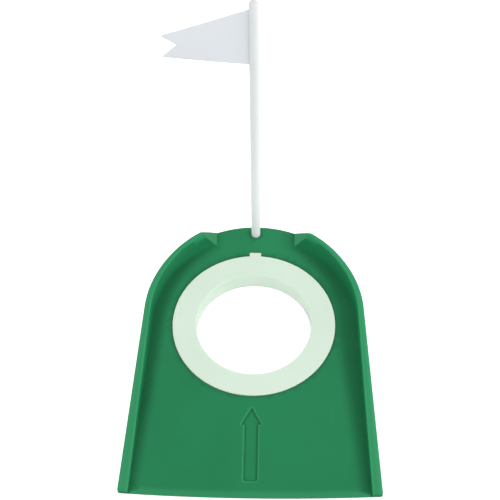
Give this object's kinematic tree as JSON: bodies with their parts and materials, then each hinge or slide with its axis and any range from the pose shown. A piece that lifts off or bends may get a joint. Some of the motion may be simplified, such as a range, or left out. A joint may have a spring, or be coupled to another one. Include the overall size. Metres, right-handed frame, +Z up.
{
  "type": "putting cup",
  "caption": "Ramped plastic putting cup with side rims, a lift-out reducer ring in its round hole and a pull-out flagstick with a swallow-tailed pennant.",
  "frame": {"origin": "middle of the base's footprint (the bounding box's bottom centre), on the floor plane the base stands on; the hole's centre is 22.55 mm behind it at y = 0.02255", "axes": "+Z up, +Y from the hole towards the flagstick at the back, -Y towards the entry lip where the ball rolls on, +X to the right seen from the entry lip"},
  "size_m": [0.1616, 0.2018, 0.2227],
  "materials": {
    "base": "satin moulded green plastic",
    "reducer_ring": "satin moulded plastic, pale greenish white, slightly translucent",
    "flagstick": "smooth white plastic",
    "pennant": "thin cool white plastic sheet"
  },
  "bodies": {
    "base": {"base": "base"},
    "ring": {"reducer_ring": "reducer_ring"},
    "stick": {"flagstick": "flagstick", "pennant": "pennant"}
  },
  "joints": [
    {"name": "ring_lift", "type": "slide", "parent": "base", "child": "ring", "axis": [0, 0, 1], "range_m": [0, 0.03]},
    {"name": "flagstick_pull", "type": "slide", "parent": "base", "child": "stick", "axis": [0, 0, 1], "range_m": [0, 0.03]}
  ]
}
